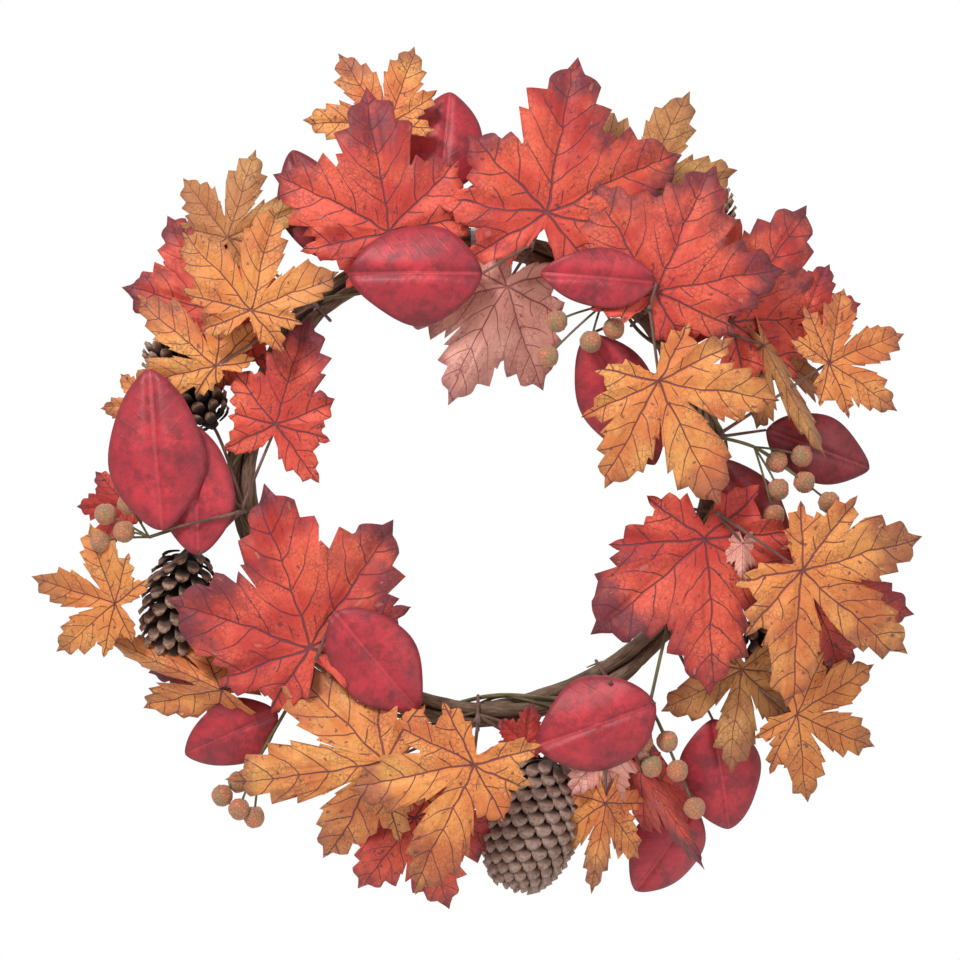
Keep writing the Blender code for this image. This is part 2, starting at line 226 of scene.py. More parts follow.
def noise(tree, where, scale, detail=4.0, roughness=0.6):
    """Fractal noise, mostly near a half, where a vector says."""
    values = {"Vector": where, "Scale": scale, "Detail": detail, "Roughness": roughness}
    return add_node(tree, "ShaderNodeTexNoise", values).outputs["Fac"]


def cell_edges(tree, where, scale):
    """Distance to the nearest edge of a net of cells."""
    values = {"Vector": where, "Scale": scale}
    return add_node(tree, "ShaderNodeTexVoronoi", values, feature="DISTANCE_TO_EDGE").outputs["Distance"]


def field(tree, name):
    """A value kept at each point of the mesh."""
    return add_node(tree, "ShaderNodeAttribute", attribute_name=name).outputs["Fac"]


def lay_uv(tree):
    """The piece's own UV, which follows its surface."""
    return add_node(tree, "ShaderNodeUVMap", uv_map="lay").outputs["UV"]


def new_finish(name, roughness, sheen=0.0, metallic=0.0):
    """An empty material: its tree, its shader and the Object coordinates."""
    finish = bpy.data.materials.new(name)
    finish.use_nodes = True
    tree = finish.node_tree
    shader = tree.nodes["Principled BSDF"]
    shader.inputs["Roughness"].default_value = roughness
    shader.inputs["Metallic"].default_value = metallic
    shader.inputs["Sheen Weight"].default_value = sheen
    return finish, tree, shader, tree.nodes.new("ShaderNodeTexCoord").outputs["Object"]


def relief(tree, shader, height, depth):
    """A bump of the given real depth into the shader's normal."""
    bump = add_node(tree, "ShaderNodeBump", {"Height": height, "Distance": depth, "Strength": 1.0})
    tree.links.new(bump.outputs["Normal"], shader.inputs["Normal"])


def bark_finish(name, dark, light):
    """Fibres drawn out along the stem's UV, over slower patches of colour."""
    finish, tree, shader, where = new_finish(name, 0.85)
    stretched = {"Vector": lay_uv(tree), "Scale": (60, 14, 1)}
    drawn = add_node(tree, "ShaderNodeMapping", stretched).outputs["Vector"]
    fibre = noise(tree, drawn, 1.0, 6, 0.7)
    patch = noise(tree, where, 45, 3)
    colour = blend_colour(tree, spread(tree, fibre, 0.35, 0.65), dark, light)
    colour = blend_colour(tree, spread(tree, patch, 0.45, 0.7, 0, 0.6), colour, tuple(0.5 * c for c in dark))
    tree.links.new(colour, shader.inputs["Base Color"])
    relief(tree, shader, fibre, 1.2 * MM)
    return finish


vine_bark = bark_finish("vine_bark", (0.10, 0.055, 0.035), (0.30, 0.19, 0.125))
tendril_bark = bark_finish("tendril_bark", (0.12, 0.09, 0.04), (0.34, 0.27, 0.14))


def round_bundle(turn, phase, offset):
    """A point round the ring at a turn, carried round the bundle's middle by a phase at an offset."""
    reach = RING_RADIUS + offset * np.cos(phase)
    return RING_CENTRE + np.stack([reach * np.cos(turn), offset * np.sin(phase), reach * np.sin(turn)], -1)


dice = np.random.default_rng(7)
vine_turn = np.linspace(0, 2 * np.pi * VINE_LAPS, VINE_STEPS, endpoint=False)
vine_path = round_bundle(vine_turn, vine_turn * VINE_TWISTS / VINE_LAPS, VINE_OFFSET)
knots = 1 + 0.07 * np.sin(vine_turn * 9.0) * np.sin(vine_turn * 4 + 1)
knots += 0.04 * dice.standard_normal(VINE_STEPS)
furrows = 1 - 0.07 * np.abs(np.sin(np.linspace(0, 2 * np.pi, VINE_SIDES, endpoint=False) * 3.5))
girths = VINE_RADIUS * knots[:, None] * furrows[None, :]
vine_points, vine_faces, vine_uv = tube(vine_path, girths, VINE_SIDES, closed=True)
mesh_piece("vine_laps", vine_points, vine_faces, vine_bark, ["vine_ring"], uv=vine_uv)

# Tendril: where it starts and how far it runs in degrees, its turns about the vine, radius and phase.
TENDRILS = [
    (100, 95, 2.2, 1.3, 0.4),
    (150, 120, -1.6, 1.6, 2.0),
    (205, 100, 2.6, 1.1, 4.0),
    (255, 110, 1.8, 1.5, 1.0),
    (300, 100, -2.2, 1.2, 3.0),
    (330, 105, 2.0, 1.4, 5.2),
    (20, 55, -1.2, 1.3, 0.0),
]
tendrils = []
for start, sweep, twists, radius, phase in TENDRILS:
    share = np.linspace(0, 1, 90)
    turn = np.radians(start + sweep * share)
    lift = TENDRIL_OFFSET + 0.9 * MM * np.sin(9 * share + phase)
    route = round_bundle(turn, phase + 2 * np.pi * twists * share, lift)
    tendrils.append(tube(route, radius * MM * np.minimum(1, 0.35 + 8 * np.minimum(share, 1 - share)), 8))
tendril_points, tendril_faces, tendril_uv = joined(tendrils)
mesh_piece("vine_tendrils", tendril_points, tendril_faces, tendril_bark, uv=tendril_uv)

# Leaves' places, the same as in the CAD: millimetres from the ring's middle, degrees anticlockwise, and how
# many layers each leaf lies in front of the ring. The last rows are small leaves tucked in behind the rest.
FIRST_LAYER = 18 * MM
LAYER_PITCH = 7 * MM
LEAF_THICKNESS = 0.6 * MM
LEVEL_REACH = 35 * MM  # how far either side of the vine the leaves stay level

# Name: finish, the stalk's end x and z, heading, length, breadth share, layer and pick.
MAPLES = {
    "maple_orange_top": ("orange", -62, 246, 125, 66, 0.95, 3, "pick_north_northwest"),
    "maple_red_top_left": ("red", -60, 170, 100, 100, 0.95, 5, "pick_north_northwest"),
    "maple_red_top": ("red", 47, 181, 80, 114, 0.95, 6, "pick_north"),
    "maple_pink_inner_top": ("pink", 19, 133, 242, 91, 0.8, 4, "pick_north"),
    "maple_tan_top_right": ("tan", 111, 198, 64, 80, 0.9, 2, "pick_northeast"),
    "maple_red_right_front": ("red", 121, 127, 66, 98, 1.0, 7, "pick_northeast"),
    "maple_red_right_back": ("red", 174, 108, 55, 102, 0.9, 5, "pick_northeast"),
    "maple_orange_inner_right": ("orange", 123, 66, 296, 90, 1.0, 8, "pick_northeast"),
    "maple_orange_right_top": ("orange", 241, 80, 22, 58, 1.05, 6, "pick_east"),
    "maple_red_inner_right": ("red", 156, -42, 274, 108, 0.95, 5, "pick_east_southeast"),
    "maple_orange_right": ("orange", 220, -62, 320, 100, 0.95, 7, "pick_east_southeast"),
    "maple_tan_lower_right": ("tan", 183, -131, 262, 69, 0.9, 3.27, "pick_southeast"),
    "maple_yellow_lower_right": ("yellow", 221, -163, 335, 66, 1.05, 4, "pick_southeast"),
    "maple_orange_bottom_right": ("orange", 87, -222, 262, 69, 0.6, 6, "pick_south_southeast"),
    "maple_red_bottom": ("red", -44, -234, 290, 72, 1.0, 3, "pick_south"),
    "maple_orange_bottom": ("orange", -3, -193, 245, 94, 0.95, 8, "pick_south"),
    "maple_orange_bottom_left": ("orange", -64, -193, 188, 106, 0.9, 7, "pick_south"),
    "maple_red_left": ("red", -115, -115, 109, 115, 0.95, 5, "pick_southwest"),
    "maple_orange_lower_left": ("orange", -176, -145, 158, 92, 0.5, 4, "pick_southwest"),
    "maple_yellow_left": ("yellow", -250, -86, 165, 62, 0.95, 5, "pick_west"),
    "maple_red_inner_left": ("red", -138, 37, 75, 82, 0.95, 5, "pick_west"),
    "maple_yellow_top_left": ("yellow", -154, 115, 76, 73, 1.0, 8, "pick_northwest"),
    "maple_orange_left": ("orange", -178, 77, 140, 72, 0.9, 6, "pick_northwest"),
    "maple_tan_top_left": ("tan", -173, 167, 75, 64, 0.9, 3, "pick_northwest"),
    "tucked_tan_right": ("tan", 196, 92, 298, 92, 0.42, 5.4, "pick_northeast"),
    "tucked_red_far_right": ("red", 229, -76, 345, 74, 0.9, 5.2, "pick_east_southeast"),
    "tucked_red_left": ("red", -166, 112, 164, 86, 0.95, 2, "pick_northwest"),
    "tucked_red_upper_left": ("red", -186, 130, 118, 66, 0.95, 1, "pick_northwest"),
    "tucked_red_bottom_right": ("red", 112, -200, 303, 80, 0.35, 5.6, "pick_south_southeast"),
    "tucked_pink_bottom": ("pink", 84, -186, 290, 42, 1.0, 5, "pick_south_southeast"),
    "tucked_red_low_middle": ("red", 33, -184, 82, 28, 1.0, 1.5, "pick_south"),
    "tucked_red_far_left": ("red", -246, -18, 185, 36, 1.0, 1, "pick_west"),
    "tucked_orange_far_left": ("orange", -232, 52, 182, 32, 1.0, 0.5, "pick_west"),
    "tucked_red_upper_right": ("red", 226, 112, 66, 44, 1.0, 3, "pick_northeast"),
    "tucked_red_lower_left": ("red", -182, -124, 145, 60, 0.9, 0.6, "pick_southwest"),
    "tucked_pink_right": ("pink", 181, -44, 268, 26, 0.7, 6, "pick_east_southeast"),
}
# Name: finish, the stalk's end x and z, heading, length, width, layer and pick.
MAGNOLIAS = {
    "magnolia_inner_top": ("crimson", 3, 140, 180, 92, 69, 7, "pick_north"),
    "magnolia_top": ("crimson", -26, 198, 85, 74, 55, 1, "pick_north_northwest"),
    "magnolia_top_left": ("burgundy", -105, 154, 108, 81, 45, 1, "pick_north_northwest"),
    "magnolia_top_right": ("crimson", 121, 133, 175, 79, 41, 8, "pick_northeast"),
    "magnolia_inner_right": ("crimson", 75, 99, 298, 101, 55, 4, "pick_northeast"),
    "magnolia_right": ("burgundy", 200, 34, 340, 79, 48, 2, "pick_east"),
    "magnolia_right_back": ("burgundy", 163, 13, 310, 86, 41, 1, "pick_east"),
    "magnolia_inner_bottom": ("crimson", 121, -153, 200, 87, 66, 7, "pick_south_southeast"),
    "magnolia_lower_right": ("crimson", 163, -167, 280, 81, 58, 2, "pick_southeast"),
    "magnolia_bottom": ("crimson", 152, -230, 237, 74, 51, 1, "pick_south_southeast"),
    "magnolia_inner_left": ("crimson", -98, -91, 310, 89, 58, 6, "pick_southwest"),
    "magnolia_lower_left": ("crimson", -139, -162, 205, 73, 46, 2, "pick_southwest"),
    "magnolia_left_front": ("crimson", -215, -35, 95, 111, 67, 7, "pick_west"),
    "magnolia_left_back": ("crimson", -191, -52, 92, 89, 52, 6, "pick_west"),
}


def in_layer(x, layer, z):
    """The point at x and z in millimetres from the ring's middle, in a layer."""
    return RING_CENTRE + np.array([x * MM, -FIRST_LAYER - layer * LAYER_PITCH, z * MM])


def lie_back(reach):
    """How far leaves lie back towards the door: nothing near the vine, then about the square of the way."""
    away = np.maximum(np.abs(reach - RING_RADIUS) - LEVEL_REACH, 0)
    return 2.9 * away**2 / (1 + away / 0.3)


def in_place(flat, x, z, heading, layer):
    """Points of a leaf on its own axes (heading, across, towards the viewer) turned and set in its layer."""
    turn = math.radians(heading)
    across = flat[:, 0] * math.cos(turn) - flat[:, 1] * math.sin(turn) + x * MM
    up = flat[:, 0] * math.sin(turn) + flat[:, 1] * math.cos(turn) + z * MM
    depth = FIRST_LAYER + layer * LAYER_PITCH + flat[:, 2] - lie_back(np.hypot(across, up))
    return RING_CENTRE + np.stack([across, -depth, up], -1)


def two_sided(front, rings, spokes, thickness):
    """A leaf's front and back, a thickness apart, sewn at the rim; rows run out from the middle point."""
    back = front - np.array([0, 0, thickness])
    count = len(front)
    quads = np.array(grid_faces(rings, spokes, wrap_columns=True)) + 1
    fan = np.stack([np.zeros(spokes, int), 1 + np.arange(spokes), 1 + (np.arange(spokes) + 1) % spokes], -1)
    rim = 1 + (rings - 1) * spokes + np.arange(spokes)
    sewn = np.stack([rim, rim + count, np.roll(rim, -1) + count, np.roll(rim, -1)], -1)
    layers = (quads[:, ::-1], fan, quads + count, fan[:, ::-1] + count, sewn)
    return np.concatenate([front, back]), [face for layer in layers for face in layer.tolist()]


# Maple leaves: die-cut printed fabric, pressed so that the veins sink and the edges curl, with a wire
# midrib glued under each. The print has dark veins, fine netting, specks and purple tips.
# Each lobe: degrees from the heading, and its share of the leaf's length.
LOBES = [(0, 1.0), (55, 0.93), (-55, 0.93), (91, 0.68), (-91, 0.68), (128, 0.52), (-128, 0.52)]
MAIN_LOBES = (0, 55, -55)
LOBE_AXES = (0, 55, 91, 128)
LOBE_BOUNDS = (27, 74, 109)  # where one lobe's veins give way to the next one's
# Shares along a lobe, and its half width there as a share of the leaf's length.
LOBE_HALF_WIDTH = (
    [0, 0.2, 0.38, 0.5, 0.6, 0.68, 0.76, 0.82, 0.88, 1],
    [0.1, 0.16, 0.225, 0.255, 0.245, 0.2, 0.15, 0.12, 0.07, 0],
)
SMALL_HALF_WIDTH = ([0, 0.3, 0.5, 0.62, 0.72, 1], [0.09, 0.17, 0.18, 0.14, 0.08, 0])
TOOTH = 0.125
BROAD, CUT_DEEP = 0.96, 0.76  # red and pink leaves have broad lobes, the others are cut deeper
CURL_ALLOWANCE = 1.05
# Lobes that are folded under or turned away, as shares of their usual length.
TURNED_LOBES = {
    "maple_orange_bottom": {55: 0.55, 91: 0.7},
    "maple_orange_left": {128: 0.35, 91: 0.6, -128: 0.8},
    "maple_red_inner_left": {-55: 0.6, -91: 0.75, -128: 1.3, 55: 0.62, 91: 0.7},
    "maple_red_top": {-91: 0.6, 128: 1.1, 55: 0.74},
    "maple_red_top_left": {-55: 0.72},
    "maple_orange_bottom_left": {55: 0.9},
    "maple_yellow_top_left": {-91: 0.8},
    "tucked_red_left": {55: 0.9},
}
RING_SHARES = np.array([0.1, 0.22, 0.36, 0.5, 0.64, 0.77, 0.89, 1.0])


def maple_outline(dice, turned, fill):
    """Each lobe's edge, its half width plus forward teeth, in polar form; the outline is their greatest."""
    edges, all_angles = [], []
    for degrees, length in LOBES:
        main = degrees in MAIN_LOBES
        along = np.linspace(0.0, 1, 54 if main else 30) ** 0.9
        length = length * (1 + 0.06 * dice.uniform(-1, 1)) * turned.get(degrees, 1)
        axis = math.radians(degrees + 3.5 * dice.uniform(-1, 1))
        table = LOBE_HALF_WIDTH if main else SMALL_HALF_WIDTH
        count = 6.4 if main else 4.6
        for side in (1, -1):
            step = along * count + dice.uniform(-0.15, 0.15) + 0.5
            size = dice.uniform(0.6, 1.25, int(count) + 3)[np.floor(step).astype(int)]
            tooth = TOOTH * length * size * np.mod(step, 1) ** 1.15
            half = fill * (np.interp(along, *table) - 0.02) * length**0.5
            half = half + tooth * np.clip((0.9 - along) * 9, 0, 1) * np.clip((along - 0.26) * 6, 0, 1)
            away = np.arctan2(half, along * length)
            away = np.minimum.accumulate(away)
            edges.append((axis, side, away[::-1], np.hypot(half, along * length)[::-1]))
            all_angles.append(axis + side * away[away < 1.2])
    angles = np.sort(np.mod(np.concatenate(all_angles) + np.pi, 2 * np.pi) - np.pi)
    angles = angles[np.concatenate([[True], np.diff(angles) > 0.004])]
    reach = np.full(len(angles), 0.05)
    for axis, side, away, radius in edges:
        off = side * (np.mod(angles - axis + np.pi, 2 * np.pi) - np.pi)
        own = np.where((off >= -1e-9) & (off <= away[-1]), np.interp(off, away, radius), 0)
        reach = np.maximum(reach, own)
    return angles, reach


def lobe_axes(x, y):
    """Distance along the nearest lobe's vein, and across it."""
    angle, radius = np.arctan2(np.abs(y), x), np.hypot(x, y)
    axis = np.radians(np.array(LOBE_AXES))[np.searchsorted(np.radians(LOBE_BOUNDS), angle)]
    off = angle - axis
    return radius * np.cos(off), radius * np.sin(off)


def maple_leaf(name, finish, x, z, heading, length, breadth, layer):
    """Rings of the outline at shares of its reach, puffed between the veins, curled and rippled outwards."""
    dice = np.random.default_rng(sum(map(ord, name)))
    fill = BROAD if finish in ("red", "pink") else CUT_DEEP
    angles, reach = maple_outline(dice, TURNED_LOBES.get(name, {}), fill)
    radius = RING_SHARES[:, None] * reach[None, :]
    flat_x, flat_y = radius * np.cos(angles), radius * np.sin(angles)
    along, across = lobe_axes(flat_x, flat_y)
    edge = RING_SHARES[:, None] * np.ones_like(reach)[None, :]
    puffed = 0.035 * (1 - np.exp(-((across / 0.055) ** 2))) * np.clip(along * 4, 0, 1)
    lobe_bend = 0.11 * np.sin(2 * angles + dice.uniform(0, 6.3))
    lobe_bend += 0.05 * np.sin(3 * angles + dice.uniform(0, 6.3))
    curl = radius**2 * (lobe_bend[None, :] - 0.07)
    ripple = 0.014 * np.sin(17 * angles + dice.uniform(0, 6.3))[None, :] * edge**4
    aside = np.abs(across)
    corrugated = 0.006 * np.cos((along - 0.9 * aside) * 2 * np.pi / 0.12) * np.clip(aside * 14, 0, 1)
    rise = puffed + curl + ripple + corrugated
    fold = math.acos(min(breadth / 0.95, 1.0))
    rise = rise - 0.28 * np.tanh(np.abs(flat_y) * math.sin(fold) / 0.28)
    scale = length * MM * CURL_ALLOWANCE
    front = np.stack([flat_x * scale, flat_y * breadth * scale, rise * scale], -1).reshape(-1, 3)
    front = np.concatenate([[[0, 0, -1 * MM]], front])
    points, faces = two_sided(front, len(RING_SHARES), len(angles), LEAF_THICKNESS)
    uv = np.concatenate([[[0, 0]], np.stack([flat_x, flat_y], -1).reshape(-1, 2)])
    rim = np.concatenate([[0], edge.ravel()])
    under = np.repeat([0.0, 1.0], len(front))
    points = in_place(points, x, z, heading, layer)
    node = [name] if name in frame["nodes"] else []
    mesh_piece(
        "leaf_" + name, points, faces, MAPLE_FINISHES[finish], node,
        uv=np.tile(uv, (2, 1)), fields={"rim": np.tile(rim, 2), "under": under},
    )


def vein_group():
    """Leaf UV in, vein masks out: a tapering midrib on each lobe, and side veins slanting from it."""
    group = bpy.data.node_groups.new("maple_veins", "ShaderNodeTree")
    group.interface.new_socket("UV", in_out="INPUT", socket_type="NodeSocketVector")
    for output in ("Midribs", "Side Veins", "Reach"):
        group.interface.new_socket(output, in_out="OUTPUT", socket_type="NodeSocketFloat")
    entry, leave = group.nodes.new("NodeGroupInput"), group.nodes.new("NodeGroupOutput")
    split = add_node(group, "ShaderNodeSeparateXYZ", {0: entry.outputs["UV"]})
    across, along = maths(group, "ABSOLUTE", split.outputs["Y"]), split.outputs["X"]
    angle = maths(group, "ARCTAN2", across, along)
    along_squared = maths(group, "MULTIPLY", along, along)
    across_squared = maths(group, "MULTIPLY", across, across)
    reach = maths(group, "SQRT", maths(group, "ADD", along_squared, across_squared))
    off = angle
    for before, axis, bound in zip(LOBE_AXES[:-1], LOBE_AXES[1:], LOBE_BOUNDS):
        passed = maths(group, "GREATER_THAN", angle, math.radians(bound))
        off = maths(group, "SUBTRACT", off, maths(group, "MULTIPLY", passed, math.radians(axis - before)))
    down = maths(group, "MULTIPLY", reach, maths(group, "COSINE", off))
    aside_signed = maths(group, "MULTIPLY", reach, maths(group, "SINE", off))
    aside = maths(group, "ABSOLUTE", aside_signed)
    width = maths(group, "SUBTRACT", 0.0080, maths(group, "MULTIPLY", down, 0.0058))
    midrib = spread(group, maths(group, "DIVIDE", aside, width), 0.45, 1.3, 1, 0)
    arch = maths(group, "MULTIPLY", aside, maths(group, "ADD", 0.65, maths(group, "MULTIPLY", aside, 2.2)))
    step = maths(group, "DIVIDE", maths(group, "SUBTRACT", down, arch), 0.17)
    other_side = maths(group, "GREATER_THAN", aside_signed, 0.0)
    step = maths(group, "ADD", step, maths(group, "MULTIPLY", other_side, 0.5))
    gap = maths(group, "ABSOLUTE", maths(group, "SUBTRACT", maths(group, "FRACT", step), 0.5))
    line = spread(group, gap, 0.012, 0.042, 1, 0)
    side = maths(group, "MULTIPLY", line, spread(group, aside, 0.3, 0.05, 0.35, 1))
    group.links.new(midrib, leave.inputs["Midribs"])
    side = maths(group, "MULTIPLY", side, spread(group, down, 0.06, 0.14))
    group.links.new(side, leave.inputs["Side Veins"])
    group.links.new(reach, leave.inputs["Reach"])
    return group


MAPLE_VEINS = vein_group()


def vector_maths(tree, operation, values):
    """A vector maths node's result."""
    return add_node(tree, "ShaderNodeVectorMath", values, operation=operation).outputs[0]


def maple_finish(name, pale, deep, gold, heart, tips, vein, underside, tip_share):
    """Printed fabric: patches of two tones, a warm heart, dark tips, specks, netting and veins."""
    finish, tree, shader, where = new_finish("maple_" + name, 0.62, sheen=0.12)
    rough_path = {"Vector": where, "Scale": 38.0, "Detail": 2.0}
    wobble = add_node(tree, "ShaderNodeTexNoise", rough_path).outputs["Color"]
    shift = vector_maths(tree, "SUBTRACT", {0: wobble, 1: (0.5, 0.5, 0.5)})
    shift = vector_maths(tree, "SCALE", {0: shift, "Scale": 0.075})
    veins = add_node(tree, "ShaderNodeGroup", node_tree=MAPLE_VEINS)
    tree.links.new(vector_maths(tree, "ADD", {0: lay_uv(tree), 1: shift}), veins.inputs["UV"])
    midribs, side_veins, reach = (veins.outputs[name] for name in ("Midribs", "Side Veins", "Reach"))
    rim, under = field(tree, "rim"), field(tree, "under")
    patch, grain = noise(tree, where, 26, 3), noise(tree, where, 420, 5, 0.75)
    colour = blend_colour(tree, spread(tree, patch, 0.36, 0.64), pale, deep)
    colour = blend_colour(tree, spread(tree, noise(tree, where, 15, 3), 0.5, 0.66, 0, 0.6), colour, gold)
    colour = blend_colour(tree, spread(tree, reach, 0.45, 0.05, 0, 0.55), colour, heart)
    ragged = maths(tree, "MULTIPLY", noise(tree, where, 21, 5, 0.7), 1.3)
    edged = maths(tree, "ADD", maths(tree, "MULTIPLY", rim, 0.3), ragged)
    edged = maths(tree, "ADD", edged, maths(tree, "MULTIPLY", reach, 0.62))
    colour = blend_colour(tree, spread(tree, edged, 1.18, 1.52, 0, tip_share), colour, tips)
    colour = blend_colour(tree, spread(tree, grain, 0.46, 0.66, 0, 0.55), colour, deep)
    grit_fine = spread(tree, noise(tree, where, 900, 3, 0.7), 0.5, 0.66)
    grit_patches = spread(tree, noise(tree, where, 48, 4, 0.65), 0.46, 0.64, 0.12, 0.85)
    gritty = maths(tree, "MULTIPLY", grit_fine, grit_patches)
    colour = blend_colour(tree, maths(tree, "MULTIPLY", gritty, 0.62), colour, vein)
    net = spread(tree, cell_edges(tree, where, 260.0), 0.09, 0.02)
    net_patches = spread(tree, noise(tree, where, 60, 3), 0.42, 0.62, 0.1, 0.75)
    netted = maths(tree, "MULTIPLY", net, net_patches)
    colour = blend_colour(tree, maths(tree, "MULTIPLY", netted, 0.6), colour, vein)
    specks = spread(tree, noise(tree, where, 190, 2, 0.5), 0.66, 0.71, 0, 0.75)
    colour = blend_colour(tree, specks, colour, vein)
    lines = maths(tree, "MAXIMUM", maths(tree, "MULTIPLY", side_veins, 0.72), midribs)
    printed = spread(tree, maths(tree, "MAXIMUM", side_veins, midribs), 0, 1, 0, 0.88)
    colour = blend_colour(tree, printed, colour, vein)
    paler = blend_colour(tree, maths(tree, "MULTIPLY", lines, 0.35), underside, vein)
    colour = blend_colour(tree, maths(tree, "MULTIPLY", under, 0.8), colour, paler)
    tree.links.new(colour, shader.inputs["Base Color"])
    height = maths(tree, "MULTIPLY", grain, 0.25)
    height = maths(tree, "SUBTRACT", height, maths(tree, "MULTIPLY", lines, 0.9))
    height = maths(tree, "SUBTRACT", height, maths(tree, "MULTIPLY", netted, 0.3))
    relief(tree, shader, height, 0.7 * MM)
    return finish


PURPLE, WINE = (0.125, 0.024, 0.040), (0.15, 0.028, 0.042)
MAPLE_FINISHES = {
    "red": maple_finish(
        "red", pale=(0.83, 0.115, 0.062), deep=(0.50, 0.028, 0.020), gold=(0.86, 0.15, 0.055),
        heart=(0.66, 0.045, 0.022), tips=PURPLE, vein=PURPLE, underside=(0.50, 0.14, 0.10), tip_share=0.9,
    ),
    "orange": maple_finish(
        "orange", pale=(0.89, 0.37, 0.095), deep=(0.66, 0.17, 0.042), gold=(0.84, 0.47, 0.12),
        heart=(0.86, 0.27, 0.06), tips=(0.30, 0.085, 0.05), vein=WINE, underside=(0.68, 0.34, 0.13),
        tip_share=0.75,
    ),
    "yellow": maple_finish(
        "yellow", pale=(0.79, 0.31, 0.075), deep=(0.65, 0.19, 0.042), gold=(0.80, 0.42, 0.11),
        heart=(0.86, 0.30, 0.07), tips=(0.36, 0.15, 0.055), vein=WINE, underside=(0.70, 0.40, 0.16),
        tip_share=0.7,
    ),
    "tan": maple_finish(
        "tan", pale=(0.62, 0.30, 0.095), deep=(0.46, 0.16, 0.045), gold=(0.70, 0.42, 0.13),
        heart=(0.62, 0.24, 0.06), tips=(0.30, 0.12, 0.055), vein=(0.22, 0.06, 0.04),
        underside=(0.56, 0.28, 0.11), tip_share=0.65,
    ),
    "pink": maple_finish(
        "pink", pale=(0.93, 0.47, 0.37), deep=(0.80, 0.31, 0.24), gold=(0.93, 0.56, 0.45),
        heart=(0.78, 0.30, 0.23), tips=(0.40, 0.14, 0.14), vein=(0.38, 0.09, 0.09),
        underside=(0.68, 0.28, 0.22), tip_share=0.6,
    ),
}
for leaf_name, (finish_name, x, z, heading, length, breadth, layer, _) in MAPLES.items():
    maple_leaf(leaf_name, finish_name, x, z, heading, length, breadth, layer)

# Magnolia leaves: smoother, heavier printed fabric, cupped about a pressed midrib. The print is mottled
# crimson to burgundy, darker at the edge, with faint side veins and a soft gloss.
MAGNOLIA_SPOKES = 96


def magnolia_leaf(name, finish, x, z, heading, length, width, layer):
    """Rings about the leaf's middle: a pointed oval, cupped, with a sunken midrib and a waving edge."""
    dice = np.random.default_rng(sum(map(ord, name)))
    turn = np.linspace(0, 2 * np.pi, MAGNOLIA_SPOKES, endpoint=False)
    share = 0.5 - 0.5 * np.cos(turn)
    half = np.sin(np.pi * share**0.9) ** 0.7 * (1 + 0.03 * np.sin(5 * turn + dice.uniform(0, 6.3)))
    edge_y = -np.sign(np.sin(turn)) * half * width / length / 2
    edge_y[0] = edge_y[MAGNOLIA_SPOKES // 2] = 0
    middle = 0.48
    rings = RING_SHARES[:, None]
    flat_x, flat_y = middle + rings * (share - middle)[None, :], rings * edge_y[None, :]
    cup, droop = dice.uniform(0.5, 1.1), dice.uniform(0.14, 0.26)
    crease = 0.03 * (1 - np.exp(-((flat_y / 0.035) ** 2)))
    ripple = 0.02 * np.sin(4 * turn + dice.uniform(0, 6.3))[None, :] * rings**3
    rise = crease - cup * flat_y**2 - droop * (flat_x - 0.35) ** 2 + ripple
    scale = length * MM
    front = np.stack([flat_x * scale, flat_y * scale, rise * scale], -1).reshape(-1, 3)
    front = np.concatenate([[[middle * scale, 0, -droop * (middle - 0.35) ** 2 * scale]], front])
    points, faces = two_sided(front, len(RING_SHARES), MAGNOLIA_SPOKES, LEAF_THICKNESS)
    faces = [face[::-1] for face in faces]
    uv = np.concatenate([[[middle, 0]], np.stack([flat_x, flat_y], -1).reshape(-1, 2)])
    rim = np.concatenate([[0], np.broadcast_to(rings, flat_x.shape).ravel()])
    points = in_place(points, x, z, heading, layer)
    mesh_piece(
        "leaf_" + name, points, faces, MAGNOLIA_FINISHES[finish], [name],
        uv=np.tile(uv, (2, 1)), fields={"rim": np.tile(rim, 2), "under": np.repeat([0.0, 1.0], len(front))},
    )


